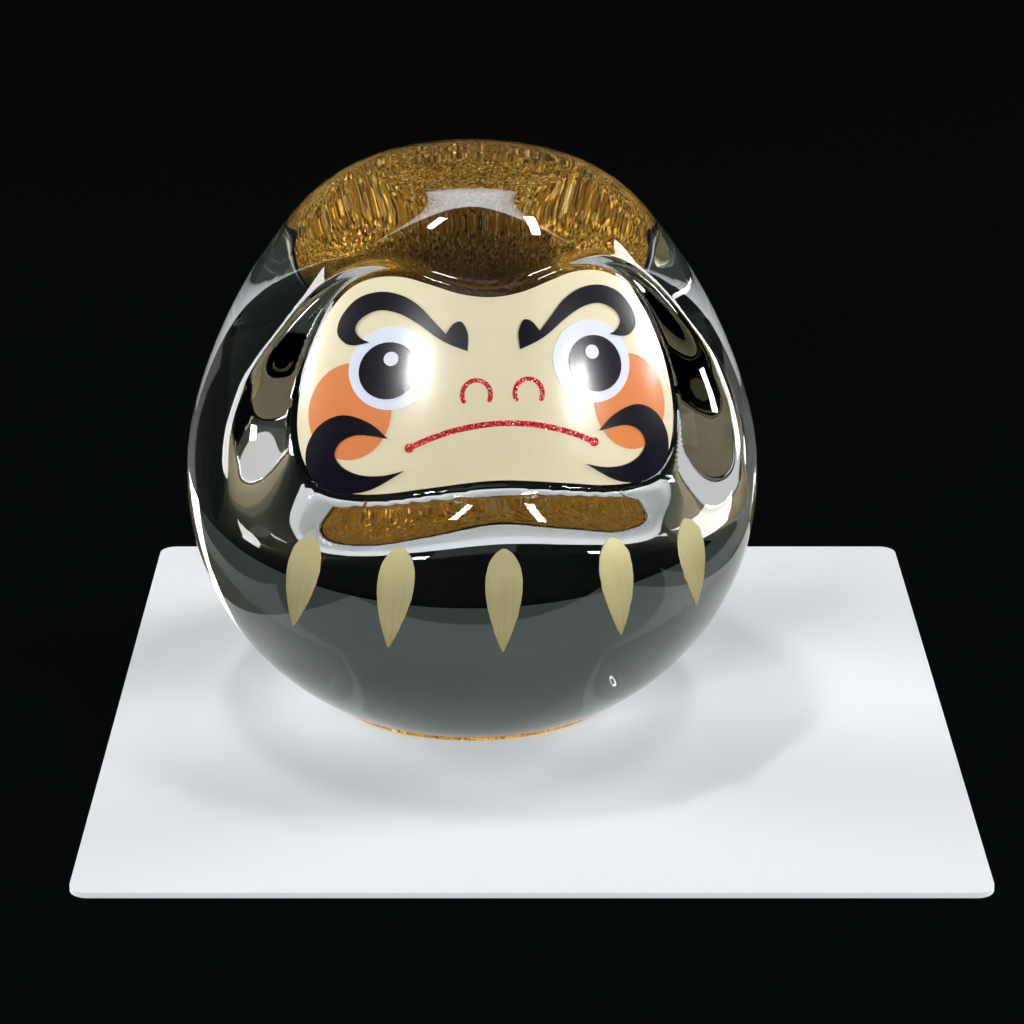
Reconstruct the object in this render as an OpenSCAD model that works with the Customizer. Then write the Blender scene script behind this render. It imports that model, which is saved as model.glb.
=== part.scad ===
// Solid glass daruma doll with a printed face, gold belly strokes and a gold base.
// The doll stands on z = 0, faces -Y, and its own left side is +X. Millimetres.

/* [Body] */
// Width of the glass body at its widest
body_w = 66; // [56:1:80]
// Height of the whole doll, from the table to the crown
body_h = 64.5; // [57:0.5:78]
// Diameter of the flat under the foot, inside its rounded edge
foot_flat_d = 35.4; // [30:0.2:43]
// Radius of the rounded edge round the foot
foot_edge_r = 1.4; // [0.6:0.2:2]
// Radius of the long curve from belly to shoulder, seen from the side
flank_r = 60; // [54:1:75]
// Radius of the shoulder curve below the crown
shoulder_r = 18; // [15:1:21]
// Angle from the vertical at which the belly ball turns into the flank
flank_a = 74; // [72:1:78]
// Angle from the vertical at which the flank turns into the shoulder
shoulder_a = 50; // [47:1:52]
// Angle from the vertical at which the shoulder turns into the crown
crown_a = 18; // [16:1:22]

/* [Gold base] */
// Thickness of the gold flake layer under the foot
gold_t = 0.5; // [0.3:0.1:1]

/* [Face recess] */
// Depth of the pressed recess at the chin
chin_depth = 5.5; // [4.5:0.25:6.75]
// Depth of the pressed recess at the brow
brow_depth = 0.8; // [0.6:0.1:1.6]
// Radius of the recess floor, seen from the side
floor_r = 60; // [50:1:75]
// Bare glass left between the print and the wall of the recess
recess_margin = 1; // [0.5:0.25:2]
// Height of the middle of the face above the widest part of the body
face_up = 18; // [16:0.25:20]
// Width of the printed face
face_w = 41.4; // [36:0.2:44]
// Angle by which the face looks up
face_tilt = 27; // [22:1:32]

/* [Print] */
// Thickness of the cream ground coat
ground_t = 0.16; // [0.1:0.02:0.3]
// Thickness of each colour printed over it
ink_t = 0.08; // [0.05:0.01:0.15]
// Distance of each pupil from the middle of the face
eye_x = 11.1; // [9:0.1:13]
// Height of the pupils above the middle of the face
eye_up = 3.4; // [2:0.1:5]
// Diameter of each pupil
pupil_d = 6; // [4:0.1:7]
// Diameter of each eye white
eye_white_d = 8.8; // [8.2:0.1:9.6]
// Diameter of the white dot in each pupil
catchlight_d = 1.5; // [0.8:0.1:2]
// Height of each orange cheek
cheek_h = 10.2; // [9:0.2:11]
// Length of the mouth from corner to corner
mouth_l = 20; // [16:0.5:24]
// Width of the red mouth line
mouth_line = 0.6; // [0.4:0.05:1]
// Width of each red nostril arc, from end to end
nostril_w = 3; // [2.2:0.1:3.6]
// Width of the red nostril line
nostril_line = 0.45; // [0.3:0.05:0.7]
// How far the red ink is printed off the middle of the face
red_offset = 0.8; // [0:0.1:1]

/* [Belly strokes] */
// Number of gold brush strokes round the front of the belly
stroke_count = 5; // [5]
// Angle from one stroke to the next, round the belly
stroke_pitch = 20.8; // [16:0.2:24]
// Length of a stroke
stroke_l = 12.4; // [9:0.2:15]
// Width of a stroke at its fullest
stroke_w = 4; // [3:0.1:5.4]
// How far the middle of the strokes lies below the widest part of the body
stroke_down = 2.6; // [0:0.2:6]
// Thickness of the gold paint
stroke_t = 0.12; // [0.08:0.02:0.2]
// Lean of a stroke for each degree it stands away from the front
stroke_fan = 0.45; // [0:0.05:0.6]

/* [Hidden] */
$fn = 144;

LEFT = 1;    // the doll's own left, +X
RIGHT = -1;
REACH = 100; // longer than anything here
CURVE_STEPS = 4;

// ---- Profile of the glass: a chain of arcs that meet tangentially, from crown to foot.
// Each centre is [x, z] in the half plane to the side of the upright axis.
belly_r = body_w / 2;
flank_from_belly = -(flank_r - belly_r) * [sin(flank_a), cos(flank_a)];
shoulder_from_belly = flank_from_belly + (flank_r - shoulder_r) * [sin(shoulder_a), cos(shoulder_a)];
crown_r = shoulder_r + shoulder_from_belly[0] / sin(crown_a);
crown_up = shoulder_from_belly[1] - (crown_r - shoulder_r) * cos(crown_a);
belly_z = body_h - crown_up - crown_r;
belly_c = [0, belly_z];
flank_c = belly_c + flank_from_belly;
shoulder_c = belly_c + shoulder_from_belly;
crown_c = [0, belly_z + crown_up];
// The rounded foot edge, and the lower arc that runs from it up to the widest point
edge_c = [foot_flat_d / 2, gold_t + foot_edge_r];
edge_in = belly_r - edge_c[0];
edge_drop = belly_z - edge_c[1];
under_r = (pow(edge_in, 2) + pow(edge_drop, 2) - pow(foot_edge_r, 2)) / (edge_in - foot_edge_r) / 2;
under_c = [belly_r - under_r, belly_z];
edge_a = atan2(edge_drop, edge_c[0] - under_c[0]);

// ---- Face: the print is laid on along one direction, which looks up by face_tilt
face_z = belly_z + face_up;
chin_z = face_z - 9;
brow_z = face_z + 12;
// Distance of the glass surface from the axis at height z, on the flank or the shoulder
flank_top = flank_c[1] + flank_r * cos(shoulder_a);
function glass_at(z) =
  z < flank_top ? flank_c[0] + sqrt(flank_r * flank_r - pow(z - flank_c[1], 2))
  : shoulder_c[0] + sqrt(shoulder_r * shoulder_r - pow(z - shoulder_c[1], 2));
// The floor is one arc through the chin and the brow, turned about the axis of the doll
chin_p = [glass_at(chin_z) - chin_depth, chin_z];
brow_p = [glass_at(brow_z) - brow_depth, brow_z];
floor_chord = norm(brow_p - chin_p);
floor_way_in = [chin_z - brow_z, brow_p[0] - chin_p[0]] / floor_chord;
floor_c = (chin_p + brow_p) / 2 + sqrt(pow(floor_r, 2) - pow(floor_chord / 2, 2)) * floor_way_in;
face_y = -(floor_c[0] + sqrt(pow(floor_r, 2) - pow(face_z - floor_c[1], 2)));
face_scale = face_w / 41.4;
cheek_narrow = 0.84;
mouth_arc_r = 26;
mouth_up = -2.9;
nostril_x = 2.8;
nostril_up = 0.2;
ink_top = ground_t + ink_t;
ink_top_2 = ink_top + ink_t;
ink_top_3 = ink_top_2 + ink_t;

// Outlines for the doll's left half, [sideways, up] from the middle of the face
ground_half = [
  [0, 10.4], [3.3, 10.9], [6.6, 12.2], [9.2, 13.2], [12.1, 13.5], [14.7, 12.7], [17, 10.4],
  [18.7, 7.3], [20, 3.6], [20.7, -0.8], [20.2, -4.8], [18.4, -7.6], [15.8, -8.9], [12, -9.4],
  [7.2, -9.2], [0, -8.8]
];
eyebrow_drop = [[2.8, 4.8], [2.7, 6.6], [3.3, 7.9], [4.2, 7.7], [5, 6.7]];
eyebrow_outer = [
  [5, 6.7], [6.3, 8.3], [7.8, 10.1], [9.7, 11.4], [11.9, 11.9], [14, 11.4], [15.6, 9.8],
  [16.1, 8.1], [15.4, 6.9], [14.4, 6.5], [12.9, 6.6]
];
eyebrow_inner = [
  [12.9, 6.6], [13.9, 7.3], [14.3, 8.3], [13.6, 9.3], [11.9, 9.9], [9.9, 9.4], [7.9, 8.1],
  [6, 6.5], [4.6, 5.6], [2.8, 4.8]
];
whisker_outer = [
  [11.4, -3.7], [13.2, -1.9], [15.9, -0.7], [18.3, -1.4], [19.7, -3.5], [19.7, -6], [18.3, -7.9],
  [16, -8.9], [13.2, -8.8], [9.8, -7.2]
];
whisker_inner = [
  [9.8, -7.2], [12, -7.5], [14.3, -7.2], [16.1, -6.2], [16.9, -4.8], [16.2, -3.5], [14.4, -3],
  [11.4, -3.7]
];
// How far each brush stroke is painted off its even place round the belly, in degrees
stroke_off = [1, 0, 0, 2, 0.5];
// One side of a brush stroke: [share of its half width, share of its length] from the top
stroke_side = [
  [0.1, 0], [0.55, 0.06], [0.9, 0.18], [1, 0.36], [0.86, 0.55], [0.56, 0.75], [0.22, 0.92],
  [0.03, 1]
];

// ---- Curves
// A point on a smooth curve between b and c, with a and d the points next to them
function curve_point(a, b, c, d, t) =
  0.5 * (2 * b + (c - a) * t + (2 * a - 5 * b + 4 * c - d) * t * t
    + (3 * b - a - 3 * c + d) * t * t * t);
// A smooth open curve through the points, without its last point
function smooth(p) = [
  for (i = [0:len(p) - 2]) for (s = [0:CURVE_STEPS - 1])
    curve_point(p[max(i - 1, 0)], p[i], p[i + 1], p[min(i + 2, len(p) - 1)], s / CURVE_STEPS)
];
function mirrored(p) = [for (i = [len(p) - 1:-1:0]) [-p[i][0], p[i][1]]];
// A closed outline from its left half, whose first and last points lie on the middle line
function both_halves(p) = concat(p, [for (q = mirrored(p)) if (abs(q[0]) > 0.001) q]);
function closed_smooth(p) = let (n = len(p)) [
  for (i = [0:n - 1]) for (s = [0:CURVE_STEPS - 1])
    curve_point(p[(i + n - 1) % n], p[i], p[(i + 1) % n], p[(i + 2) % n], s / CURVE_STEPS)
];
// Each point moved outward by d, square to the line between its neighbours
function grown(p, d) = let (n = len(p)) [
  for (i = [0:n - 1]) let (along = p[(i + 1) % n] - p[(i + n - 1) % n])
    p[i] + d * [-along[1], along[0]] / norm(along)
];

// ---- Glass shapes
// The half plane to the right of the axis, from height a to height b
module band(a, b) {
  translate([0, a]) square([REACH, b - a]);
}
// What a disc at c covers between two heights
module disc_band(c, r, a, b) {
  intersection() {
    translate(c) circle(r);
    band(a, b);
  }
}
// The outside of the glass, with every surface moved outward by grow. At each place where two
// arcs meet, the tighter one runs on inside the other and the wider one stops.
module glass_shape(grow = 0) {
  z_crown = crown_c[1] + (crown_r + grow) * cos(crown_a);
  z_shoulder = shoulder_c[1] + (shoulder_r + grow) * cos(shoulder_a);
  z_flank = flank_c[1] + (flank_r + grow) * cos(flank_a);
  z_edge = edge_c[1] - (foot_edge_r + grow) * sin(edge_a);
  rotate_extrude() {
    disc_band(crown_c, crown_r + grow, z_crown, body_h + REACH);
    disc_band(shoulder_c, shoulder_r + grow, shoulder_c[1], body_h + REACH);
    translate([0, shoulder_c[1]]) square([shoulder_c[0], z_crown - shoulder_c[1]]);
    disc_band(flank_c, flank_r + grow, z_flank, z_shoulder);
    disc_band(belly_c, belly_r + grow, belly_z, (z_flank + z_shoulder) / 2);
    disc_band(under_c, under_r + grow, z_edge, (belly_z + z_flank) / 2);
    disc_band(edge_c, foot_edge_r + grow, gold_t - grow, belly_z);
    translate([0, gold_t - grow]) square([edge_c[0], foot_edge_r + grow]);
  }
}
// The round shape whose outside is the floor of the face recess, built up by grow
module floor_shape(grow = 0) {
  rotate_extrude() disc_band(floor_c, floor_r + grow, floor_c[1] - REACH, floor_c[1] + REACH);
}
// Stands an outline up at the middle of the face and runs it out through the front
module on_face() {
  translate([0, face_y, face_z]) rotate([90 - face_tilt, 0, 0])
    translate([0, 0, -belly_r / 2]) linear_extrude(REACH / 2)
      scale(face_scale) children();
}
// A film on the recess floor: the outline, from one height above the floor to another
module film(low, high) {
  difference() {
    intersection() {
      on_face() children();
      floor_shape(high);
    }
    floor_shape(low);
  }
}
module sided(side) {
  if (side == LEFT) children();
  else mirror([1, 0]) children();
}

// ---- Outlines of the print
module ground_outline() polygon(closed_smooth(both_halves(ground_half)));
module recess_outline() polygon(closed_smooth(grown(both_halves(ground_half), recess_margin)));
module eyebrow_outline() {
  polygon(concat(smooth(eyebrow_drop), smooth(eyebrow_outer), smooth(eyebrow_inner)));
}
module whisker_outline() polygon(concat(smooth(whisker_outer), smooth(whisker_inner)));
module eye_white_outline() translate([eye_x - 0.35, eye_up + 0.25]) circle(d = eye_white_d);
module pupil_outline() translate([eye_x, eye_up]) circle(d = pupil_d);
module catchlight_outline() {
  translate([eye_x - 0.4, eye_up + 1.2]) circle(d = catchlight_d);
}
module cheek_outline() {
  translate([eye_x + 4.1, eye_up - 3.8]) scale([cheek_narrow, 1]) circle(d = cheek_h);
}
// An arch of line width w and radius r about the origin, out to half angle a, with round ends
module arch(r, w, a, end_d) {
  difference() {
    circle(r + w / 2);
    circle(r - w / 2);
    polygon([
      [0, 0], 3 * r * [sin(a), cos(a)], 3 * r * [1.5, -1.5], 3 * r * [-1.5, -1.5],
      3 * r * [-sin(a), cos(a)]
    ]);
  }
  for (s = [-1, 1]) translate(r * [s * sin(a), cos(a)]) circle(d = end_d);
}
module mouth_outline() {
  translate([red_offset, mouth_up - mouth_arc_r])
    arch(mouth_arc_r, mouth_line, asin(mouth_l / 2 / mouth_arc_r), mouth_line * 1.6);
}
module nostril_outline(side) {
  translate([red_offset + side * nostril_x, nostril_up])
    arch(nostril_w / 2, nostril_line, 115, nostril_line);
}

// ---- Parts
module glass_body() {
  color("azure", 0.4) difference() {
    glass_shape();
    difference() {
      on_face() recess_outline();
      floor_shape();
    }
  }
}
module gold_base() {
  color("goldenrod") cylinder(h = gold_t, d = foot_flat_d);
}
module face_ground() {
  color("wheat") film(0, ground_t) ground_outline();
}
module cheek(side) {
  color("sandybrown") difference() {
    film(ground_t, ink_top) sided(side) cheek_outline();
    film(0, ink_top_2) sided(side) eye_white_outline();
  }
}
module eye_white(side) {
  color("lavender") film(ground_t, ink_top) sided(side) eye_white_outline();
}
module pupil(side) {
  color("black") film(ink_top, ink_top_2) sided(side) pupil_outline();
}
module catchlight(side) {
  color("white") film(ink_top_2, ink_top_3) sided(side) catchlight_outline();
}
module eyebrow(side) {
  color("black") difference() {
    film(ground_t, ink_top_2) sided(side) eyebrow_outline();
    film(0, ink_top) sided(side) eye_white_outline();
  }
}
module whisker(side) {
  color("black") difference() {
    film(ground_t, ink_top_2) sided(side) whisker_outline();
    film(0, ink_top) sided(side) cheek_outline();
  }
}
module mouth() {
  color("crimson") film(ground_t, ink_top) mouth_outline();
}
module nostril(side) {
  color("crimson") film(ground_t, ink_top) nostril_outline(side);
}
module stroke_outline() {
  side = [for (q = stroke_side) [q[0] * stroke_w / 2, (0.5 - q[1]) * stroke_l]];
  rim = concat(smooth(side), [side[len(side) - 1]]);
  polygon(concat(rim, mirrored(rim)));
}
// Stroke number n, counted from the doll's right to its left
module gold_stroke(n) {
  around = (n - (stroke_count + 1) / 2) * stroke_pitch + stroke_off[n - 1];
  color("darkkhaki") difference() {
    intersection() {
      rotate([0, 0, around]) translate([0, -belly_r / 2, belly_z - stroke_down]) rotate([90, 0, 0])
        linear_extrude(belly_r) rotate(around * stroke_fan) stroke_outline();
      glass_shape(stroke_t);
    }
    glass_shape();
  }
}

glass_body();
gold_base();
face_ground();
mouth();
cheek(LEFT);  // cheek_left
cheek(RIGHT);  // cheek_right
eye_white(LEFT);  // eye_white_left
eye_white(RIGHT);  // eye_white_right
pupil(LEFT);  // pupil_left
pupil(RIGHT);  // pupil_right
catchlight(LEFT);  // catchlight_left
catchlight(RIGHT);  // catchlight_right
eyebrow(LEFT);  // eyebrow_left
eyebrow(RIGHT);  // eyebrow_right
whisker(LEFT);  // whisker_left
whisker(RIGHT);  // whisker_right
nostril(LEFT);  // nostril_left
nostril(RIGHT);  // nostril_right
gold_stroke(1);  // gold_stroke_1
gold_stroke(2);  // gold_stroke_2
gold_stroke(3);  // gold_stroke_3
gold_stroke(4);  // gold_stroke_4
gold_stroke(5);  // gold_stroke_5
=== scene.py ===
"""A solid glass daruma doll: clear glass on a gold flake foot, a face printed in a pressed recess
and gold brush strokes round the belly. The doll faces -Y, stands on z = 0, and its own left is +X.
"""
import math

import bmesh
import bpy
import numpy as np
from bpy.props import FloatProperty, FloatVectorProperty, IntProperty, PointerProperty
from mathutils import Matrix, Vector, noise


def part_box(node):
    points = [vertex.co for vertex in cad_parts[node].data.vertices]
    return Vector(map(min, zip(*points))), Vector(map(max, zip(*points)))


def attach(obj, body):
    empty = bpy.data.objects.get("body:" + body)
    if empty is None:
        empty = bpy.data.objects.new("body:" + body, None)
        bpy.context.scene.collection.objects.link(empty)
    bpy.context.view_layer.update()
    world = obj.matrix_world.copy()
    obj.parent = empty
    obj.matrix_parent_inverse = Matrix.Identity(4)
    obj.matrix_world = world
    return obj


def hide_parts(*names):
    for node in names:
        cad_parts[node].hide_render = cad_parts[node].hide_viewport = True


bl_info = {
    "name": "Glass Daruma Doll",
    "version": (1, 0, 0),
    "blender": (4, 5, 0),
    "location": "3D View > Sidebar > Daruma",
    "description": "Builds a solid glass daruma doll round its packed frame",
    "category": "Add Mesh",
}

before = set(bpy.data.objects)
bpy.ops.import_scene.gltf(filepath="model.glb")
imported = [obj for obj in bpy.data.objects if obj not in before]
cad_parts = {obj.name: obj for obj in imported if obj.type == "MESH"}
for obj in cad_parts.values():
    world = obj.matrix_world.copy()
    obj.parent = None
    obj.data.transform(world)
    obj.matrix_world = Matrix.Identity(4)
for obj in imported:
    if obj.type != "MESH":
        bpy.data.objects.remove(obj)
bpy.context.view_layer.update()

MM = 0.001
BODY = "root"
SIDES = (("left", 1), ("right", -1))
EMBED = 0.03 * MM  # how far a bonded layer reaches into what carries it
# Heights under and over the middle of the face at which the depth of the recess is given
CHIN_DOWN = 9 * MM
BROW_UP = 12 * MM
FILM_STEP = 0.8 * MM  # spacing of the cuts that let a film follow a curved surface
SMOOTH_STEPS = 8  # points on a smooth outline for each point given
ROUND_STEPS = 96
# Cuts round the face and round the back, and their spacing down each arc of the side view
FRONT_HALF = math.radians(72)
FRONT_TURNS, BACK_TURNS = 326, 110
RING_STEPS = tuple(mm * MM for mm in (0.6, 0.3, 0.28, 0.45, 0.9, 0.2))
# How far over and under the middle of the face the side wall starts to change, and over what
# height it turns into the wall at the top and at the chin
WALL_CHANGE = 4 * MM
WALL_BLEND = 7 * MM
# Where the floor is looked for, from deep inside to in front of the face, and in how many halvings
FLOOR_REACH = (-25 * MM, 8 * MM)
FLOOR_HALVINGS = 40
# Places in the print: sideways and up, from the pupil or from the middle of the face
CHEEK_FROM_PUPIL = (4.1 * MM, -3.8 * MM)
CHEEK_NARROW = 0.84  # width of a cheek for its height
CHEEK_INK = 0.75  # thickness of a cheek for that of the other inks
WHITE_FROM_PUPIL = (-0.35 * MM, 0.25 * MM)
CATCHLIGHT_FROM_PUPIL = (-0.4 * MM, 1.2 * MM)
NOSTRIL_PLACE = (2.8 * MM, 0.2 * MM)
NOSTRIL_HALF_ARC = math.radians(115)
MOUTH_UP = -2.9 * MM
MOUTH_BEND = 26 * MM
MOUTH_DOT = 1.6  # width of the dots at its corners for the width of the mouth line
# Uneven edge of a brush stroke: how deep and how closely spaced
STROKE_ROUGH = 0.09 * MM
STROKE_BRISTLES = 1.1 * MM
# Rim of the gold foot: its cuts, the depth and spacing of its ripple, and the widths of the band
# that ripples and of the ring of faces inside it
RIM_TURNS = 360
RIM_RIPPLE = 0.08 * MM
RIM_SPACING = 0.9 * MM
RIM_BAND = 0.2 * MM
RIM_RING = 0.5 * MM
# Stage: the board's place to the doll's left, its rounded corners and its thickness, the half width
# of the cloth in metres, the point that the lights face and the camera
BOARD_ACROSS = 5.9 * MM
BOARD_CORNER = 2 * MM
BOARD_THICK = 0.6 * MM
CLOTH_HALF = 3
LIT_HEIGHT = 32 * MM
CAMERA_PLACE = (-34.73 * MM, -345.35 * MM, 156.05 * MM)

# Outlines of the print for the doll's left half, in millimetres: sideways, then up
GROUND_HALF = (
    (0, 10.4), (3.3, 10.9), (6.6, 12.2), (9.2, 13.2), (12.1, 13.5), (14.7, 12.7), (17, 10.4),
    (18.7, 7.3), (20, 3.6), (20.7, -0.8), (20.2, -4.8), (18.4, -7.6), (15.8, -8.9), (12, -9.4),
    (7.2, -9.2), (0, -8.8),
)
EYEBROW = (
    ((2.8, 4.8), (2.7, 6.6), (3.3, 7.9), (4.2, 7.7), (5, 6.7)),
    ((5, 6.7), (6.3, 8.3), (7.8, 10.1), (9.7, 11.4), (11.9, 11.9), (14, 11.4), (15.6, 9.8),
     (16.1, 8.1), (15.4, 6.9), (14.4, 6.5), (12.9, 6.6)),
    ((12.9, 6.6), (13.9, 7.3), (14.3, 8.3), (13.6, 9.3), (11.9, 9.9), (9.9, 9.4), (7.9, 8.1),
     (6, 6.5), (4.6, 5.6), (2.8, 4.8)),
)
WHISKER = (
    ((11.4, -3.7), (13.2, -1.9), (15.9, -0.7), (18.3, -1.4), (19.7, -3.5), (19.7, -6),
     (18.3, -7.9), (16, -8.9), (13.2, -8.8), (9.8, -7.2)),
    ((9.8, -7.2), (12, -7.5), (14.3, -7.2), (16.1, -6.2), (16.9, -4.8), (16.2, -3.5),
     (14.4, -3), (11.4, -3.7)),
)
# How far each brush stroke is painted off its even place round the belly, in degrees
STROKE_OFF = (1, 0, 0, 2, 0.5)
# One side of a brush stroke: share of its half width, share of its length from the top
STROKE_SIDE = (
    (0.1, 0), (0.55, 0.06), (0.9, 0.18), (1, 0.36), (0.86, 0.55), (0.56, 0.75), (0.22, 0.92),
    (0.03, 1),
)


def linear(code):
    """Linear red, green and blue of an sRGB hex colour."""
    parts = [int(code[i:i + 2], 16) / 255 for i in (1, 3, 5)]
    return tuple(p / 12.92 if p <= 0.04045 else ((p + 0.055) / 1.055) ** 2.4 for p in parts)


def colour(code, name, description):
    return FloatVectorProperty(
        name=name, description=description, subtype="COLOR", size=3, min=0, max=1,
        default=linear(code),
    )


def length(mm, name, description):
    return FloatProperty(
        name=name, description=description, default=mm * MM, unit="LENGTH", subtype="DISTANCE"
    )


def angle(degrees, name, description):
    return FloatProperty(
        name=name, description=description, default=math.radians(degrees), subtype="ANGLE"
    )


def number(value, name, description):
    return FloatProperty(name=name, description=description, default=value)


# ---- Settings
class DARUMA_PG_glass(bpy.types.PropertyGroup):
    """Curves of the glass and of the recess pressed into its front"""
    foot_edge: length(1.4, "Foot edge", "Radius of the rounded edge round the foot")
    flank: length(60, "Flank", "Radius of the long curve from belly to shoulder")
    shoulder: length(18, "Shoulder", "Radius of the curve below the crown")
    flank_from: angle(74, "Flank from", "Angle at which the belly ball turns into the flank")
    shoulder_from: angle(50, "Shoulder from", "Angle at which the flank turns into the shoulder")
    crown_from: angle(18, "Crown from", "Angle at which the shoulder turns into the crown")
    recess_low: length(5.5, "Depth at chin", "Depth of the recess under the print's lower edge")
    recess_high: length(0.8, "Depth at brow", "Depth of the recess at the top of the print")
    floor: length(60, "Floor curve", "Radius of the recess floor, seen from the side")
    margin: length(0.8, "Margin", "Flat glass left round the print")
    wall_low: length(5, "Wall at chin", "Width of the recess wall under the chin")
    wall_side: length(2.8, "Wall at side", "Width of the recess wall beside the cheeks")
    wall_top: length(1.6, "Wall at top", "Width of the recess wall over the eyebrows")
    wall_bend: number(2.1, "Wall bend", "How much steeper the wall is at the floor than at its lip")
    ior: number(1.5, "IOR", "Index of refraction of clear glass")
    tint: colour("#FAFCFB", "Tint", "Colour of the clear glass")


class DARUMA_PG_print(bpy.types.PropertyGroup):
    """Places, sizes and inks of the printed face"""
    height: length(43.96, "Height", "Height of the middle of the face above the table")
    tilt: angle(27, "Tilt", "Angle by which the face looks up")
    ground: length(0.16, "Ground coat", "Thickness of the cream ground coat")
    ink: length(0.08, "Ink", "Thickness of each colour over the ground coat")
    eye_x: length(11.1, "Eye spacing", "Distance of each pupil from the middle")
    eye_up: length(3.4, "Eye height", "Height of the pupils above the middle")
    pupil: length(6, "Pupil", "Diameter of each pupil")
    eye_white: length(8.8, "Eye white", "Diameter of each eye white")
    catchlight: length(1.5, "Catchlight", "Diameter of the white dot in each pupil")
    cheek: length(10.2, "Cheek", "Height of each cheek")
    mouth: length(20, "Mouth", "Length of the mouth from corner to corner")
    mouth_line: length(0.6, "Mouth line", "Width of the mouth line")
    nostril: length(3, "Nostril", "Width of each nostril arc")
    nostril_line: length(0.45, "Nostril line", "Width of the nostril line")
    red_offset: length(0.8, "Red offset", "How far the red ink is printed off the middle")
    cream: colour("#E8DDBB", "Cream", "Ground coat")
    black: colour("#0C0A19", "Black", "Pupils, eyebrows and whiskers")
    white: colour("#E1E6F5", "White", "Eye whites and catchlights")
    orange: colour("#E2874F", "Orange", "Cheeks")
    red: colour("#D7232D", "Red", "Mouth and nostrils")


class DARUMA_PG_gold(bpy.types.PropertyGroup):
    """Belly strokes and the gold flake under the foot"""
    count: IntProperty(name="Strokes", description="Brush strokes round the belly", default=5)
    pitch: angle(20.8, "Pitch", "Angle from one stroke to the next")
    length: length(12.4, "Length", "Length of a stroke")
    width: length(4, "Width", "Width of a stroke at its fullest")
    height: length(23.36, "Height", "Height of the middle of the strokes above the table")
    thickness: length(0.12, "Thickness", "Thickness of the gold paint")
    fan: number(0.45, "Fan", "Lean of a stroke for each degree it stands off the front")
    paint: colour("#DCD29C", "Paint", "Brushed gold paint")
    paint_dark: colour("#8E8350", "Paint, thin", "Gold paint where the brush ran dry")
    flake: colour("#D99A2B", "Flake", "Gold flake under the foot")
    # Painted shade and painted highlight: darker and brighter flake colours that stand in for flakes
    # in shade or facing the light
    flake_painted_shade: colour("#6E3A0C", "Flake, dark", "Flake that lies in shade")
    flake_painted_highlight: colour("#FFE08A", "Flake, bright", "Flake that faces the light")


class DARUMA_PG_stage(bpy.types.PropertyGroup):
    """Floor, lights and camera"""
    board: length(96, "Board", "Width of the pale floor board")
    behind: length(41, "Board behind", "How far the board reaches behind the middle of the doll")
    pale: colour("#DDE0E4", "Board colour", "Plain pale floor board")
    dark: colour("#070909", "Surround", "Dark cloth round the board")
    room: colour("#373E3B", "Room", "Dim room round the stage")
    camera_turn: angle(-6.5, "Camera turn", "How far the camera stands to the doll's right")
    camera_down: angle(21.25, "Camera down", "How far the camera looks down")
    far: length(750, "Light distance", "Distance of the lights from the doll")
    lens: number(112.2, "Lens", "Focal length in millimetres")
    key: number(2.9, "Key power", "Power of each soft box in watts")
    front: number(0.35, "Front power", "Power of the dim panel behind the camera in watts")
    side: number(5.0, "Side power", "Power of each tall side light in watts")
    top: number(1.2, "Top power", "Power of each overhead lamp in watts")


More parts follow.
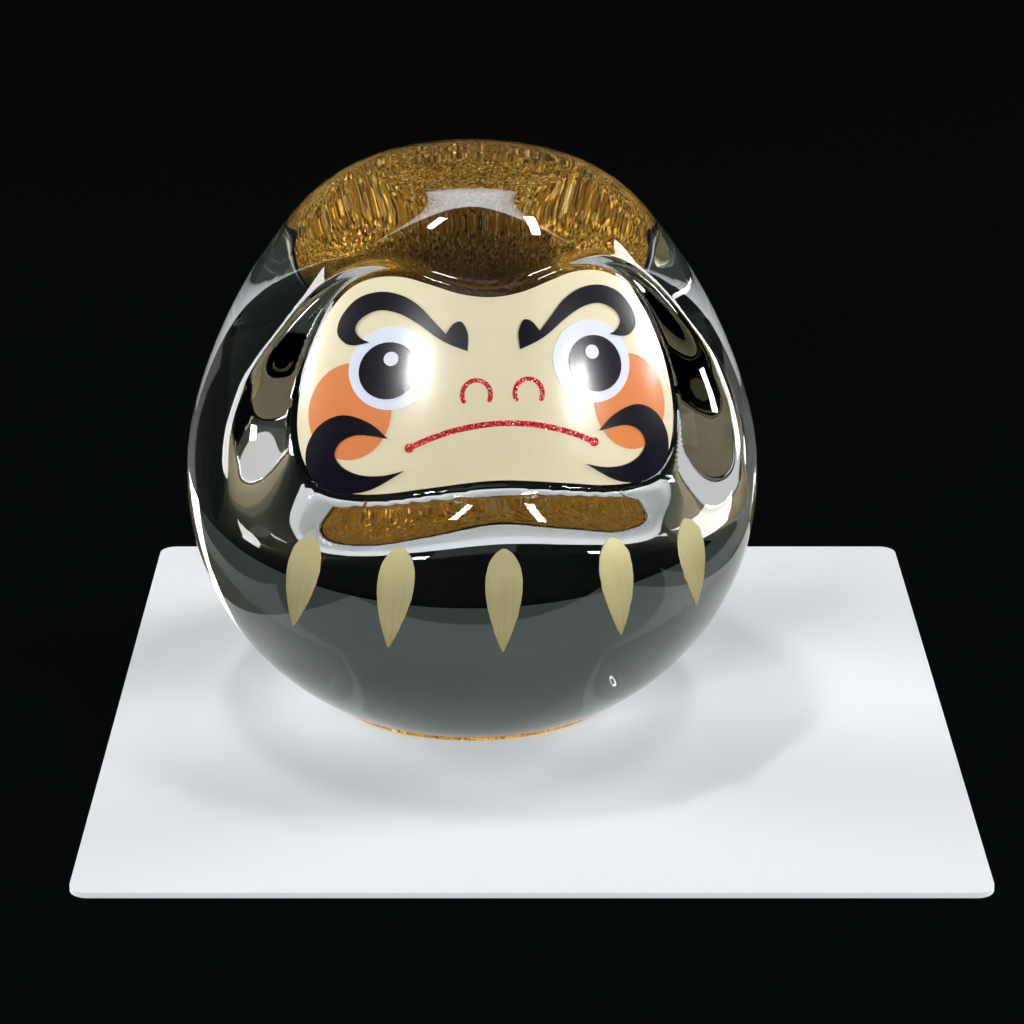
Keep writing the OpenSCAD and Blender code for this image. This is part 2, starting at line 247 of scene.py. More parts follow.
# ---- The doll's side view
class SideView:
    """The outside of the glass as tangent arcs from the crown down to the foot edge. An arc is
    (centre out, centre up, radius, from, to), with angles from straight up."""

    def __init__(self, glass, face):
        low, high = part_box("glass_body")
        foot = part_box("gold_base")[1].x
        belly = high.x
        to_flank = -(glass.flank - belly) * direction(glass.flank_from)
        to_shoulder = to_flank + (glass.flank - glass.shoulder) * direction(glass.shoulder_from)
        crown = glass.shoulder + to_shoulder.x / math.sin(glass.crown_from)
        crown_up = to_shoulder.y - (crown - glass.shoulder) * math.cos(glass.crown_from)
        middle = Vector((0, high.z - crown_up - crown))
        edge = Vector((foot, low.z + glass.foot_edge))
        inward, drop = belly - edge.x, middle.y - edge.y
        under = (inward ** 2 + drop ** 2 - glass.foot_edge ** 2) / (inward - glass.foot_edge) / 2
        edge_from = math.radians(90) + math.atan2(drop, edge.x - belly + under)
        flank = middle + to_flank
        self.low = low.z
        self.floor = glass.floor
        self.arcs = (
            (0, middle.y + crown_up, crown, 0, glass.crown_from),
            (*(middle + to_shoulder), glass.shoulder, glass.crown_from, glass.shoulder_from),
            (*flank, glass.flank, glass.shoulder_from, glass.flank_from),
            (*middle, belly, glass.flank_from, math.radians(90)),
            (belly - under, middle.y, under, math.radians(90), edge_from),
            (*edge, glass.foot_edge, edge_from, math.radians(180)),
        )
        ends = np.array((face.height - CHIN_DOWN, face.height + BROW_UP))
        outs = self.outside(ends) - (glass.recess_low, glass.recess_high)
        (out_low, out_high), chord = outs, math.hypot(outs[1] - outs[0], ends[1] - ends[0])
        back = math.sqrt(self.floor ** 2 - chord ** 2 / 4) / chord
        self.floor_centre = Vector((
            (out_low + out_high) / 2 - back * (ends[1] - ends[0]),
            (ends[0] + ends[1]) / 2 + back * (out_high - out_low),
        ))

    def points(self, steps):
        """Points down the side, with the spacing steps gives for each arc."""
        found = []
        for (out, up, radius, start, end), step in zip(self.arcs, steps):
            count = math.ceil((end - start) * radius / step)
            for i in range(count):
                turn = start + (end - start) * i / count
                found.append((out + radius * math.sin(turn), up + radius * math.cos(turn)))
        out, up, radius = self.arcs[-1][:3]
        found.append((out, up - radius))
        return found

    def outside(self, z):
        """Radius of the glass at these heights."""
        found = np.zeros_like(z)
        for out, up, radius, start, end in self.arcs:
            here = (z <= up + radius * math.cos(start)) & (z >= up + radius * math.cos(end))
            found = np.where(here, out + np.sqrt(np.maximum(radius ** 2 - (z - up) ** 2, 0)), found)
        return found

    def floor_radius(self, z):
        """Radius of the recess floor at these heights."""
        out, up = self.floor_centre
        return out + np.sqrt(np.maximum(self.floor ** 2 - (z - up) ** 2, 0))


class FaceView:
    """The face seen along the direction it looks in. Flat points are sideways and up from its
    middle."""

    def __init__(self, side, face):
        self.side = side
        sine, cosine = math.sin(face.tilt), math.cos(face.tilt)
        self.across = np.array(((1, 0, 0), (0, sine, cosine)))
        self.out = np.array((0, -cosine, sine))
        self.middle = np.array((0, -float(side.floor_radius(face.height)), face.height))

    def flat(self, points):
        return (points - self.middle) @ self.across.T

    def on_floor(self, flat, height):
        """Where flat points land on the recess floor, and so far above it."""
        start = self.middle + flat @ self.across
        near, far = (np.full(len(flat), reach) for reach in FLOOR_REACH)
        for _ in range(FLOOR_HALVINGS):
            half = (near + far) / 2
            spot = start + half[:, None] * self.out
            beyond = np.hypot(spot[:, 0], spot[:, 1]) > self.side.floor_radius(spot[:, 2])
            near, far = np.where(beyond, near, half), np.where(beyond, half, far)
        spot = start + near[:, None] * self.out
        around = spot[:, :2] / np.linalg.norm(spot[:, :2], axis=1)[:, None]
        centre_out, centre_up = self.side.floor_centre
        centre = np.column_stack((around * centre_out, np.full(len(flat), centre_up)))
        return spot + (spot - centre) * (height / self.side.floor)


def direction(turn):
    """Unit step at this angle from straight up, in the side view."""
    return Vector((math.sin(turn), math.cos(turn)))


# ---- Outlines
def curve_through(points, closed=False):
    """A smooth curve through the points. An open one stops short of its last point."""
    spots = [Vector(p) for p in points]
    count = len(spots)
    found = []
    for i in range(count if closed else count - 1):
        if closed:
            a, b, c, d = (spots[(i + k) % count] for k in (-1, 0, 1, 2))
        else:
            a, b, c, d = (spots[min(max(i + k, 0), count - 1)] for k in (-1, 0, 1, 2))
        for t in (k / SMOOTH_STEPS for k in range(SMOOTH_STEPS)):
            cubic = (3 * b - a - 3 * c + d) * t ** 3
            found.append((2 * b + (c - a) * t + (2 * a - 5 * b + 4 * c - d) * t * t + cubic) / 2)
    return found


def scaled(points):
    return np.array([tuple(p) for p in points]) * MM


def whole_outline(half):
    """A closed outline from its left half, whose ends lie on the middle line."""
    other = tuple((-x, up) for x, up in reversed(half) if x > 0)
    return scaled(curve_through(half + other, closed=True))


def joined_outline(curves):
    return scaled([p for curve in curves for p in curve_through(curve)])


def round_outline(middle, diameter):
    turns = np.arange(ROUND_STEPS) * 2 * math.pi / ROUND_STEPS
    return np.column_stack((np.cos(turns), np.sin(turns))) * diameter / 2 + middle


def pupil_place(face, offset=(0, 0)):
    """The middle of the left pupil, or a place this far from it."""
    return np.array((face.eye_x, face.eye_up)) + offset


def arch_outline(x, up, radius, width, half_angle, end_width):
    """A curved line about (x, up), which swells to a round dot at each end."""
    reach, end = radius * half_angle, end_width / 2
    cap = [-reach - end * math.cos(k * math.pi / 16) for k in range(11)]
    steps = 60
    middle = [-reach + end + (reach - end) * 2 * k / steps for k in range(steps + 1)]
    along = np.array(cap + middle + [-s for s in reversed(cap)])
    past = reach - np.abs(along)
    half = np.maximum(np.sqrt(np.maximum(end ** 2 - past ** 2, 0)), np.where(past > 0, width / 2, 0))
    turns = along / radius
    outer = np.column_stack(((radius + half) * np.sin(turns), (radius + half) * np.cos(turns)))
    inner = np.column_stack(((radius - half) * np.sin(turns), (radius - half) * np.cos(turns)))
    return np.vstack((outer, inner[-2:0:-1])) + (x, up)


def mirrored(outline, side):
    return outline * (side, 1)


def stroke_outline(gold, order):
    """A brush stroke with the slightly uneven edge that bristles leave."""
    half = [(w * gold.width / 2, (0.5 - s) * gold.length) for w, s in STROKE_SIDE]
    side = curve_through(half) + [Vector(half[-1])]
    edge = []
    for sign, run in ((1, side), (-1, side[::-1])):
        for p in run:
            seed = Vector((sign * 3 + order * 7, p.y / STROKE_BRISTLES, order))
            edge.append((sign * max(p.x + STROKE_ROUGH * noise.noise(seed), 0.02 * MM), p.y))
    return np.array(edge)


def distance_outside(points, outline):
    """Signed distance from flat points to a closed outline, negative inside it."""
    nearest = np.full(len(points), np.inf)
    inside = np.zeros(len(points), bool)
    for a, b in zip(outline, np.roll(outline, -1, axis=0)):
        run, offset = b - a, points - a
        share = np.clip(offset @ run / (run @ run), 0, 1)
        nearest = np.minimum(nearest, np.linalg.norm(offset - share[:, None] * run, axis=1))
        turn = run[0] * offset[:, 1] - run[1] * offset[:, 0]
        upward = (a[1] <= points[:, 1]) & (b[1] > points[:, 1]) & (turn > 0)
        downward = (a[1] > points[:, 1]) & (b[1] <= points[:, 1]) & (turn < 0)
        inside ^= upward | downward
    return np.where(inside, -nearest, nearest)


def eased(t):
    t = np.clip(t, 0, 1)
    return t * t * (3 - 2 * t)


# ---- Meshes
def make_piece(bm, name, material, node, crease=math.radians(40)):
    """Turns a bmesh into a piece that stands for a CAD node."""
    mesh = bpy.data.meshes.new(name)
    bm.to_mesh(mesh)
    bm.free()
    mesh.shade_smooth()
    mesh.set_sharp_from_angle(angle=crease)
    mesh.materials.append(material)
    piece = bpy.data.objects.new(name, mesh)
    bpy.context.scene.collection.objects.link(piece)
    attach(piece, BODY)
    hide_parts(node)


def flat_sheet(outline):
    """A flat sheet with this outline, cut both ways so that it can follow a curved surface."""
    bm = bmesh.new()
    bm.faces.new([bm.verts.new((x, up, 0)) for x, up in outline])
    for axis in range(2):
        low, high = outline[:, axis].min(), outline[:, axis].max()
        normal = Vector((axis == 0, axis == 1, 0))
        for i in range(math.ceil(low / FILM_STEP), math.ceil(high / FILM_STEP)):
            everything = bm.verts[:] + bm.edges[:] + bm.faces[:]
            bmesh.ops.bisect_plane(
                bm, geom=everything, dist=1e-7, plane_co=normal * i * FILM_STEP, plane_no=normal
            )
    return bm


def lay_film(outline, place, low, high):
    """A film with this outline on a curved surface. place gives the spots of flat points at a
    height over that surface, and low and high are the heights of the film's two faces."""
    bm = flat_sheet(outline)
    made = bmesh.ops.extrude_face_region(bm, geom=bm.faces[:])
    front = [v for v in made["geom"] if isinstance(v, bmesh.types.BMVert)]
    back = sorted(set(bm.verts) - set(front), key=lambda v: v.index)
    shares = bm.loops.layers.uv.new("Flat")
    middle, span = (outline.max(axis=0) + outline.min(axis=0)) / 2, np.ptp(outline, axis=0)
    for face in bm.faces:
        for loop in face.loops:
            loop[shares].uv = (np.array(loop.vert.co[:2]) - middle) / span + 0.5
    for verts, height in ((front, high), (back, low)):
        for v, spot in zip(verts, place(np.array([v.co[:2] for v in verts]), height)):
            v.co = spot
    bmesh.ops.recalc_face_normals(bm, faces=bm.faces[:])
    return bm


# ---- Materials
def add_node(tree, kind, settings=(), links=()):
    """Adds a shader node, sets its properties or inputs, and links its inputs."""
    node = tree.nodes.new(kind)
    for key, value in dict(settings).items():
        if isinstance(key, str) and hasattr(node, key):
            setattr(node, key, value)
        else:
            node.inputs[key].default_value = value
    for key, source in dict(links).items():
        tree.links.new(source, node.inputs[key])
    return node


def new_material(name, settings):
    """A material with one Principled shader, its tree and the shader."""
    material = bpy.data.materials.new(name)
    material.use_nodes = True
    tree = material.node_tree
    shader = tree.nodes["Principled BSDF"]
    for key, value in settings.items():
        shader.inputs[key].default_value = value
    return material, tree, shader


def object_place(tree):
    return add_node(tree, "ShaderNodeTexCoord").outputs["Object"]


def rgba(values):
    return (*values, 1)


def per_metre(mm):
    """Texture scale for a pattern of this size."""
    return 1 / (mm * MM)


def clear_glass(glass):
    """Clear soda glass, gathered and pressed hot: water clear and fire polished, with long faint
    swells that only bend a reflection slightly."""
    material, tree, shader = new_material("clear_pressed_glass", {
        "Base Color": rgba(glass.tint), "Roughness": 0, "IOR": glass.ior, "Transmission Weight": 1,
    })
    swells = add_node(tree, "ShaderNodeTexNoise", {"Scale": per_metre(14), "Detail": 0},
                      {"Vector": object_place(tree)})
    bump = add_node(tree, "ShaderNodeBump", {"Strength": 0.06, "Distance": 0.05 * MM},
                    {"Height": swells.outputs["Fac"]})
    tree.links.new(bump.outputs["Normal"], shader.inputs["Normal"])
    return material


def screen_ink(name, tone):
    """Opaque screen ink fired on glass: a glossy, slightly leathery skin with faint mottling."""
    material, tree, shader = new_material(name, {"IOR": 1.5, "Coat Weight": 0.35,
                                                 "Coat Roughness": 0.12})
    place = object_place(tree)
    mottle = add_node(tree, "ShaderNodeTexNoise", {"Scale": per_metre(5), "Detail": 4},
                      {"Vector": place})
    dark = tuple(c * 0.9 for c in tone)
    blend = add_node(tree, "ShaderNodeMix", {"data_type": "RGBA", 6: rgba(dark), 7: rgba(tone)},
                     {0: mottle.outputs["Fac"]})
    tree.links.new(blend.outputs[2], shader.inputs["Base Color"])
    skin = add_node(tree, "ShaderNodeTexNoise", {"Scale": per_metre(0.25), "Detail": 3},
                    {"Vector": place})
    gloss = add_node(tree, "ShaderNodeMapRange", {3: 0.19, 4: 0.31},
                     {0: skin.outputs["Fac"]})
    tree.links.new(gloss.outputs[0], shader.inputs["Roughness"])
    bump = add_node(tree, "ShaderNodeBump", {"Strength": 0.25, "Distance": 0.01 * MM},
                    {"Height": skin.outputs["Fac"]})
    tree.links.new(bump.outputs["Normal"], shader.inputs["Normal"])
    return material


def tilted_flakes(tree, size, tilt):
    """Flat flakes of this size in millimetres, each at its own angle: their random colour and the
    normal that they give the surface."""
    cells = add_node(tree, "ShaderNodeTexVoronoi", {"Scale": per_metre(size)},
                     {"Vector": object_place(tree)})
    centred = add_node(tree, "ShaderNodeVectorMath", {"operation": "SUBTRACT", 1: (0.5, 0.5, 0.5)},
                       {0: cells.outputs["Color"]})
    leaning = add_node(tree, "ShaderNodeVectorMath", {"operation": "SCALE", "Scale": tilt},
                       {0: centred.outputs["Vector"]})
    straight = add_node(tree, "ShaderNodeNewGeometry").outputs["Normal"]
    total = add_node(tree, "ShaderNodeVectorMath", {"operation": "ADD"},
                     {0: straight, 1: leaning.outputs["Vector"]})
    unit = add_node(tree, "ShaderNodeVectorMath", {"operation": "NORMALIZE"},
                    {0: total.outputs["Vector"]})
    return cells.outputs["Color"], unit.outputs["Vector"]


def colour_steps(tree, factor, stops):
    """A colour ramp through (place, colour) stops."""
    ramp = add_node(tree, "ShaderNodeValToRGB", {}, {"Fac": factor})
    steps = ramp.color_ramp.elements
    while len(steps) < len(stops):
        steps.new(1)
    for step, (place, tone) in zip(steps, stops):
        step.position = place
        step.color = rgba(tone)
    return ramp.outputs["Color"]


def glitter_red(face):
    """Red ink full of fine glitter: bright points scattered in a saturated red. The glitter is
    drawn at 0.14 mm, a little coarser than the real one, so that it shows."""
    material, tree, shader = new_material("red_glitter_ink", {
        "Roughness": 0.3, "Metallic": 0.35, "Coat Weight": 0.5, "Coat Roughness": 0.08,
    })
    tone, normal = tilted_flakes(tree, 0.14, 1.1)
    pick = add_node(tree, "ShaderNodeSeparateColor", {}, {"Color": tone})
    pale = tuple(0.4 + 0.6 * c for c in face.red)
    stops = ((0, tuple(c * 0.55 for c in face.red)), (0.35, face.red), (0.85, face.red), (0.95, pale))
    tree.links.new(colour_steps(tree, pick.outputs["Red"], stops), shader.inputs["Base Color"])
    tree.links.new(normal, shader.inputs["Normal"])
    return material


def gold_flake(gold):
    """Brass flake pressed on hot glass: crumpled metal leaf in amber. Its tilted flakes give real
    glints, and its colour also holds painted highlight and painted shade, with flakes picked at
    random. The flakes are 0.15 mm across."""
    material, tree, shader = new_material("gold_flake", {"Metallic": 0.75, "Roughness": 0.38})
    tone, normal = tilted_flakes(tree, 0.15, 0.9)
    pick = add_node(tree, "ShaderNodeSeparateColor", {}, {"Color": tone})
    # Painted shade and painted highlight: a random darker or brighter colour for each flake
    stops = ((0, gold.flake_painted_shade), (0.3, gold.flake), (0.75, gold.flake), (1, gold.flake_painted_highlight))
    tree.links.new(colour_steps(tree, pick.outputs["Green"], stops), shader.inputs["Base Color"])
    tree.links.new(normal, shader.inputs["Normal"])
    return material


def brushed_gold(gold):
    """Gold paint from a soft brush: satin mica paint with fine streaks along the stroke, thinner
    and darker towards the tip."""
    material, tree, shader = new_material("brushed_gold_paint", {"Metallic": 0.55})
    flat = add_node(tree, "ShaderNodeUVMap", {"uv_map": "Flat"}).outputs["UV"]
    bristles = add_node(tree, "ShaderNodeMapping", {"Scale": (gold.width / (0.22 * MM), 1.2, 1)},
                        {"Vector": flat})
    streaks = add_node(tree, "ShaderNodeTexNoise", {"Scale": 1, "Detail": 2},
                       {"Vector": bristles.outputs["Vector"]})
    along = add_node(tree, "ShaderNodeSeparateXYZ", {}, {"Vector": flat}).outputs["Y"]
    load = add_node(tree, "ShaderNodeMath", {"operation": "MULTIPLY_ADD", 1: 0.35, 2: -0.1},
                    {0: streaks.outputs["Fac"]})
    fill = add_node(tree, "ShaderNodeMath", {"operation": "ADD", "use_clamp": True},
                    {0: along, 1: load.outputs[0]})
    stops = ((0, gold.paint_dark), (0.85, gold.paint))
    tree.links.new(colour_steps(tree, fill.outputs[0], stops), shader.inputs["Base Color"])
    gloss = add_node(tree, "ShaderNodeMapRange", {3: 0.34, 4: 0.5}, {0: streaks.outputs["Fac"]})
    tree.links.new(gloss.outputs[0], shader.inputs["Roughness"])
    bump = add_node(tree, "ShaderNodeBump", {"Strength": 0.5, "Distance": 0.03 * MM},
                    {"Height": streaks.outputs["Fac"]})
    tree.links.new(bump.outputs["Normal"], shader.inputs["Normal"])
    return material


def plain_matt(name, tone, roughness):
    """A plain matt stage surface without a sheen."""
    return new_material(name, {"Base Color": rgba(tone), "Roughness": roughness,
                               "Specular IOR Level": 0})[0]


# ---- Pieces
def build_glass(scene):
    """Spins the side view, finer round the face, and presses the recess into the front."""
    glass, face = scene.daruma_glass, scene.daruma_print
    side = SideView(glass, face)
    bm = bmesh.new()
    start = Vector((-math.sin(FRONT_HALF), -math.cos(FRONT_HALF), 0))
    verts = [bm.verts.new(start * out + Vector((0, 0, up))) for out, up in side.points(RING_STEPS)]
    verts.append(bm.verts.new((0, 0, side.low)))
    edges = [bm.edges.new(pair) for pair in zip(verts, verts[1:])]
    made = {"geom_last": verts + edges}
    back_half = math.pi - FRONT_HALF
    for sweep, turns in ((2 * FRONT_HALF, FRONT_TURNS), (2 * back_half, BACK_TURNS)):
        made = bmesh.ops.spin(
            bm, geom=made["geom_last"], axis=(0, 0, 1), angle=sweep, steps=turns, use_merge=False
        )
    bmesh.ops.remove_doubles(bm, verts=bm.verts[:], dist=0.001 * MM)
    press_recess(bm, side, FaceView(side, face), glass)
    bmesh.ops.recalc_face_normals(bm, faces=bm.faces[:])
    make_piece(bm, "glass", clear_glass(glass), "glass_body", math.radians(60))


def press_recess(bm, side, view, glass):
    """Moves the front of the glass in to the recess floor. The wall leaves the floor steeply and
    rounds over into the outside."""
    front = [v for v in bm.verts if v.co.y < 0 and v.co.z > side.arcs[-2][1]]
    spots = np.array([v.co[:] for v in front])
    outer = np.hypot(spots[:, 0], spots[:, 1])
    around = spots[:, :2] / np.maximum(outer, 0.1 * MM)[:, None]
    floor = side.floor_radius(spots[:, 2])
    flat = view.flat(np.column_stack((around * floor[:, None], spots[:, 2])))
    down, up = (eased((sign * flat[:, 1] - WALL_CHANGE) / WALL_BLEND) for sign in (-1, 1))
    wall = (glass.wall_side + (glass.wall_low - glass.wall_side) * down
            + (glass.wall_top - glass.wall_side) * up)
    beyond = (distance_outside(flat, whole_outline(GROUND_HALF)) - glass.margin) / wall
    share = (1 - np.clip(beyond, 0, 1)) ** glass.wall_bend
    radius = outer - np.maximum(outer - floor, 0) * share
    for v, (x, y), r in zip(front, around, radius):
        v.co.x, v.co.y = x * r, y * r


def build_base(scene):
    """A thin disc of flake with an uneven rim, bonded to the flat under the foot."""
    gold = scene.daruma_gold
    low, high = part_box("gold_base")
    bm = bmesh.new()
    bmesh.ops.create_circle(bm, cap_ends=True, radius=high.x, segments=RIM_TURNS)
    bmesh.ops.inset_region(bm, faces=bm.faces[:], thickness=RIM_RING)
    bmesh.ops.translate(bm, verts=bm.verts[:], vec=(0, 0, low.z))
    made = bmesh.ops.extrude_face_region(bm, geom=bm.faces[:])
    top = [v for v in made["geom"] if isinstance(v, bmesh.types.BMVert)]
    bmesh.ops.translate(bm, verts=top, vec=(0, 0, high.z - low.z + EMBED))
    for v in bm.verts:
        out = v.co.xy.length
        if out > high.x - RIM_BAND:
            ripple = noise.noise(Vector((v.co.x, v.co.y, v.co.z * 3)) / RIM_SPACING)
            v.co.xy *= 1 - RIM_RIPPLE * (1 + ripple) / out
    bmesh.ops.recalc_face_normals(bm, faces=bm.faces[:])
    make_piece(bm, "gold_flake_foot", gold_flake(gold), "gold_base")


def build_film(scene, name, outline, low, high, material, node):
    """One printed film on the floor of the recess, between two heights over it."""
    face = scene.daruma_print
    view = FaceView(SideView(scene.daruma_glass, face), face)
    bm = lay_film(outline, view.on_floor, low - EMBED, high)
    make_piece(bm, name, material, node)


def build_ground(scene):
    face = scene.daruma_print
    build_film(scene, "ground_coat", whole_outline(GROUND_HALF), 0, face.ground,
               screen_ink("cream_ground_coat", face.cream), "face_ground")


def build_cheeks(scene):
    face = scene.daruma_print
    ink = screen_ink("orange_screen_ink", face.orange)
    spot = round_outline((0, 0), face.cheek) * (CHEEK_NARROW, 1)
    spot += pupil_place(face, CHEEK_FROM_PUPIL)
    for word, side in SIDES:
        build_film(scene, f"cheek_spot_{word}", mirrored(spot, side), face.ground,
                   face.ground + face.ink * CHEEK_INK, ink, f"cheek_{word}")


def build_eyes(scene):
    face = scene.daruma_print
    white = screen_ink("white_screen_ink", face.white)
    black = screen_ink("black_eye_ink", face.black)
    first, second = face.ground + face.ink, face.ground + 2 * face.ink
    ball = round_outline(pupil_place(face, WHITE_FROM_PUPIL), face.eye_white)
    pupil = round_outline(pupil_place(face), face.pupil)
    dot = round_outline(pupil_place(face, CATCHLIGHT_FROM_PUPIL), face.catchlight)
    for word, side in SIDES:
        build_film(scene, f"eye_white_disc_{word}", mirrored(ball, side), face.ground, first,
                   white, f"eye_white_{word}")
        build_film(scene, f"pupil_disc_{word}", mirrored(pupil, side), first, second, black,
                   f"pupil_{word}")
        build_film(scene, f"catchlight_dot_{word}", mirrored(dot, side), second,
                   second + face.ink, white, f"catchlight_{word}")


def build_hair(scene):
    """Eyebrows and whiskers."""
    face = scene.daruma_print
    ink = screen_ink("black_hair_ink", face.black)
    for word, side in SIDES:
        for kind, curves in (("eyebrow", EYEBROW), ("whisker", WHISKER)):
            outline = mirrored(joined_outline(curves), side)
            build_film(scene, f"{kind}_stroke_{word}", outline, face.ground,
                       face.ground + 2 * face.ink, ink, f"{kind}_{word}")


def build_mouth(scene):
    """The mouth line and the two nostril arcs."""
    face = scene.daruma_print
    ink = glitter_red(face)
    top = face.ground + face.ink
    half_arc = math.asin(face.mouth / 2 / MOUTH_BEND)
    line = arch_outline(face.red_offset, MOUTH_UP - MOUTH_BEND, MOUTH_BEND, face.mouth_line,
                        half_arc, face.mouth_line * MOUTH_DOT)
    build_film(scene, "mouth_line", line, face.ground, top, ink, "mouth")
    for word, side in SIDES:
        out, up = NOSTRIL_PLACE
        arc = arch_outline(face.red_offset + side * out, up, face.nostril / 2,
                           face.nostril_line, NOSTRIL_HALF_ARC, face.nostril_line)
        build_film(scene, f"nostril_arc_{word}", arc, face.ground, top, ink,
                   f"nostril_{word}")


def build_strokes(scene):
    """The gold brush strokes, numbered from the doll's right."""
    gold = scene.daruma_gold
    side = SideView(scene.daruma_glass, scene.daruma_print)
    paint = brushed_gold(gold)
    for n in range(1, gold.count + 1):
        around = (n - (gold.count + 1) / 2) * gold.pitch + math.radians(STROKE_OFF[n - 1])

        def place(flat, height, around=around):
            lean = around * gold.fan
            x = flat[:, 0] * math.cos(lean) - flat[:, 1] * math.sin(lean)
            z = gold.height + flat[:, 0] * math.sin(lean) + flat[:, 1] * math.cos(lean)
            y = -np.sqrt((side.outside(z) + height) ** 2 - x ** 2)
            return np.column_stack((x * math.cos(around) - y * math.sin(around),
                                    x * math.sin(around) + y * math.cos(around), z))

        bm = lay_film(stroke_outline(gold, n), place, -EMBED, gold.thickness)
        make_piece(bm, f"belly_stroke_{n}", paint, f"gold_stroke_{n}")


# ---- Stage
def add_area(name, spot, size, power, target):
    lamp = bpy.data.lights.new(name, "AREA")
    lamp.energy = power
    lamp.shape = "RECTANGLE"
    lamp.size, lamp.size_y = size
    thing = bpy.data.objects.new(name, lamp)
    bpy.context.scene.collection.objects.link(thing)
    thing.location = spot
    thing.rotation_euler = (target - spot).to_track_quat("-Z", "Y").to_euler()


def build_floor(stage):
    """The pale board, turned towards the camera, and the dark cloth that it lies on."""
    bm = bmesh.new()
    bmesh.ops.create_grid(bm, x_segments=1, y_segments=1, size=stage.board / 2)
    bmesh.ops.bevel(bm, geom=bm.verts[:], offset=BOARD_CORNER, affect="VERTICES", segments=6,
                    profile=0.5, material=-1)
    bmesh.ops.rotate(bm, verts=bm.verts[:], matrix=Matrix.Rotation(stage.camera_turn, 3, "Z"))
    middle = (BOARD_ACROSS, stage.behind - stage.board / 2, 0)
    bmesh.ops.translate(bm, verts=bm.verts[:], vec=middle)
    made = bmesh.ops.extrude_face_region(bm, geom=bm.faces[:])
    lower = [v for v in made["geom"] if isinstance(v, bmesh.types.BMVert)]
    bmesh.ops.translate(bm, verts=lower, vec=(0, 0, -BOARD_THICK))
    bmesh.ops.recalc_face_normals(bm, faces=bm.faces[:])
    add_stage(bm, "floor_board", plain_matt("pale_board", stage.pale, 0.85))
    bm = bmesh.new()
    bmesh.ops.create_grid(bm, x_segments=1, y_segments=1, size=CLOTH_HALF)
    bmesh.ops.translate(bm, verts=bm.verts[:], vec=(0, 0, -BOARD_THICK))
    add_stage(bm, "dark_cloth", plain_matt("dark_cloth", stage.dark, 0.95))


def build_lights(stage):
    """Two soft boxes, a dim panel in front, two tall side lights and two overhead lamps. Each has
    its direction from the doll and its size in metres."""
    target = Vector((0, 0, LIT_HEIGHT))
    for name, way, size, power in (
        ("soft_box_right", (-0.533, -0.804, 0.264), (0.16, 0.12), stage.key),
        ("soft_box_left", (0.742, -0.659, 0.125), (0.16, 0.12), stage.key),
        ("front_panel", (-0.11, -0.9, 0.42), (0.5, 0.4), stage.front),
        ("side_light_right", (-0.95, 0.2, 0.24), (0.25, 0.5), stage.side),
        ("side_light_left", (0.95, 0.2, 0.24), (0.25, 0.5), stage.side),
        ("overhead_right", (-0.188, 0.161, 0.969), (0.13, 0.035), stage.top),
        ("overhead_left", (0.370, 0.117, 0.922), (0.2, 0.045), stage.top),
    ):
        add_area(name, target + Vector(way) * stage.far, size, power, target)


def build_camera(scene):
    stage = scene.daruma_stage
    camera = bpy.data.cameras.new("camera")
    camera.lens = stage.lens
    camera.clip_start = 0.01
    eye = bpy.data.objects.new("camera", camera)
    scene.collection.objects.link(eye)
    eye.location = CAMERA_PLACE
    eye.rotation_euler = (math.pi / 2 - stage.camera_down, 0, stage.camera_turn)
    scene.camera = eye


def build_stage(scene):
    """The floor, the lights, a dim room round them and the camera."""
    stage = scene.daruma_stage
    build_floor(stage)
    build_lights(stage)
    world = bpy.data.worlds.new("dark_room")
    scene.world = world
    world.use_nodes = True
    world.node_tree.nodes["Background"].inputs["Color"].default_value = rgba(stage.room)
    scene.view_settings.view_transform = "Standard"
    scene.cycles.max_bounces = 24
    scene.cycles.transmission_bounces = 24
    build_camera(scene)


def add_stage(bm, name, material):
    mesh = bpy.data.meshes.new(name)
    bm.to_mesh(mesh)
    bm.free()
    mesh.materials.append(material)
    thing = bpy.data.objects.new(name, mesh)
    bpy.context.scene.collection.objects.link(thing)


# ---- Operators
class DARUMA_OT_glass(bpy.types.Operator):
    """Build the clear glass body with its face recess"""
    bl_idname = "daruma.glass"
    bl_label = "Glass Body"

    def execute(self, context):
        build_glass(context.scene)
        return {"FINISHED"}


class DARUMA_OT_base(bpy.types.Operator):
    """Build the gold flake layer under the foot"""
    bl_idname = "daruma.base"
    bl_label = "Gold Flake Foot"

    def execute(self, context):
        build_base(context.scene)
        return {"FINISHED"}


class DARUMA_OT_ground(bpy.types.Operator):
    """Lay the cream ground coat in the recess"""
    bl_idname = "daruma.ground"
    bl_label = "Ground Coat"

    def execute(self, context):
        build_ground(context.scene)
        return {"FINISHED"}


class DARUMA_OT_cheeks(bpy.types.Operator):
    """Print the two orange cheeks"""
    bl_idname = "daruma.cheeks"
    bl_label = "Cheeks"

    def execute(self, context):
        build_cheeks(context.scene)
        return {"FINISHED"}


class DARUMA_OT_eyes(bpy.types.Operator):
    """Print the eye whites, pupils and catchlights"""
    bl_idname = "daruma.eyes"
    bl_label = "Eyes"

    def execute(self, context):
        build_eyes(context.scene)
        return {"FINISHED"}


class DARUMA_OT_hair(bpy.types.Operator):
    """Print the eyebrows and whiskers"""
    bl_idname = "daruma.hair"
    bl_label = "Eyebrows and Whiskers"

    def execute(self, context):
        build_hair(context.scene)
        return {"FINISHED"}


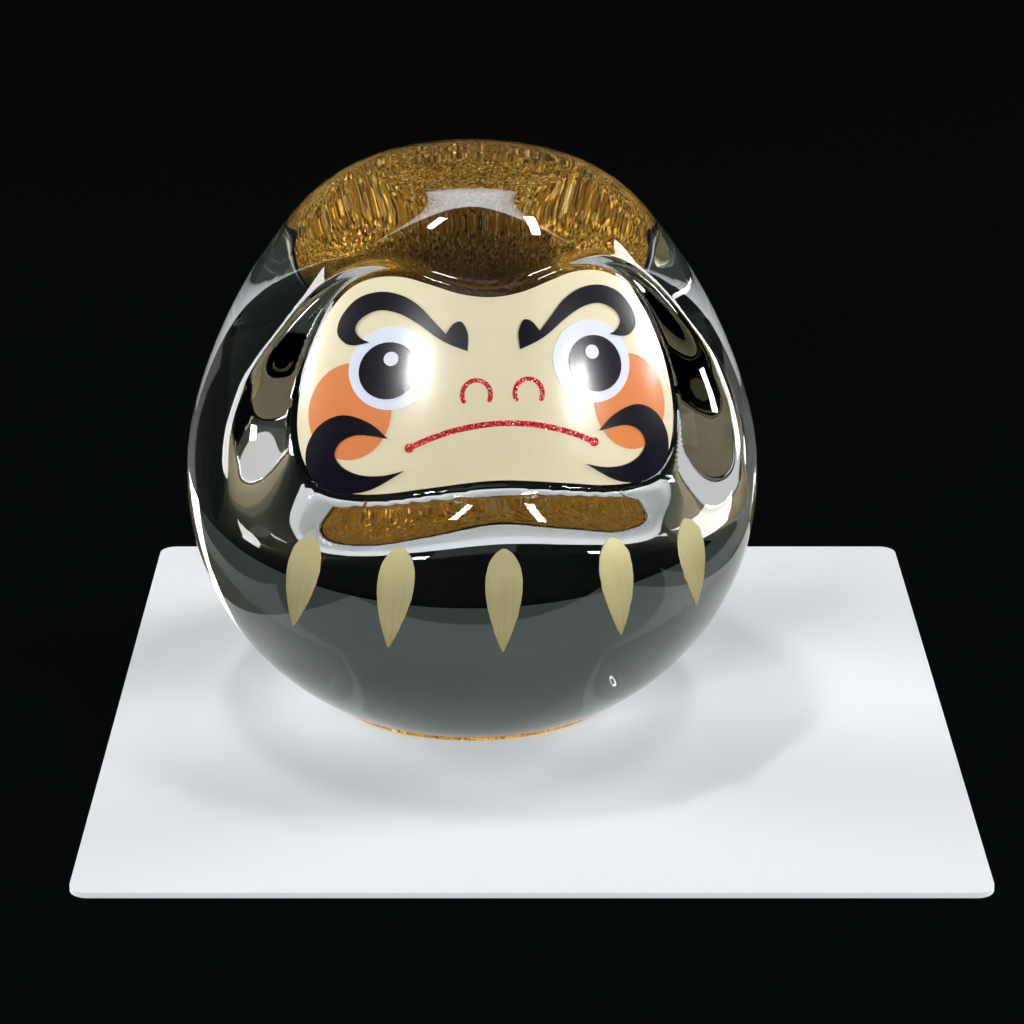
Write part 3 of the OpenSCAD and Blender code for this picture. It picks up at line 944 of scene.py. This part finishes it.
class DARUMA_OT_mouth(bpy.types.Operator):
    """Print the mouth and the nostrils"""
    bl_idname = "daruma.mouth"
    bl_label = "Mouth and Nostrils"

    def execute(self, context):
        build_mouth(context.scene)
        return {"FINISHED"}


class DARUMA_OT_strokes(bpy.types.Operator):
    """Paint the gold strokes round the belly"""
    bl_idname = "daruma.strokes"
    bl_label = "Belly Strokes"

    def execute(self, context):
        build_strokes(context.scene)
        return {"FINISHED"}


class DARUMA_OT_stage(bpy.types.Operator):
    """Set the floor, the lights and the camera"""
    bl_idname = "daruma.stage"
    bl_label = "Stage"

    def execute(self, context):
        build_stage(context.scene)
        return {"FINISHED"}


PIECES = (
    DARUMA_OT_glass, DARUMA_OT_base, DARUMA_OT_ground, DARUMA_OT_cheeks, DARUMA_OT_eyes,
    DARUMA_OT_hair, DARUMA_OT_mouth, DARUMA_OT_strokes, DARUMA_OT_stage,
)
GROUPS = {
    "daruma_glass": DARUMA_PG_glass,
    "daruma_print": DARUMA_PG_print,
    "daruma_gold": DARUMA_PG_gold,
    "daruma_stage": DARUMA_PG_stage,
}


class DARUMA_PT_sidebar(bpy.types.Panel):
    """Lists the settings and the pieces"""
    bl_idname = "DARUMA_PT_sidebar"
    bl_label = "Glass Daruma Doll"
    bl_space_type = "VIEW_3D"
    bl_region_type = "UI"
    bl_category = "Daruma"

    def draw(self, context):
        for kind in PIECES:
            self.layout.operator(kind.bl_idname)
        for group in GROUPS:
            box = self.layout.box()
            settings = getattr(context.scene, group)
            for key in settings.__annotations__:
                box.prop(settings, key)


CLASSES = (*GROUPS.values(), *PIECES, DARUMA_PT_sidebar)


def register():
    for kind in CLASSES:
        bpy.utils.register_class(kind)
    for name, kind in GROUPS.items():
        setattr(bpy.types.Scene, name, PointerProperty(type=kind))


def unregister():
    for name in GROUPS:
        delattr(bpy.types.Scene, name)
    for kind in reversed(CLASSES):
        bpy.utils.unregister_class(kind)


def main():
    register()
    for kind in PIECES:
        group, name = kind.bl_idname.split(".")
        getattr(getattr(bpy.ops, group), name)()


if __name__ == "__main__":
    main()
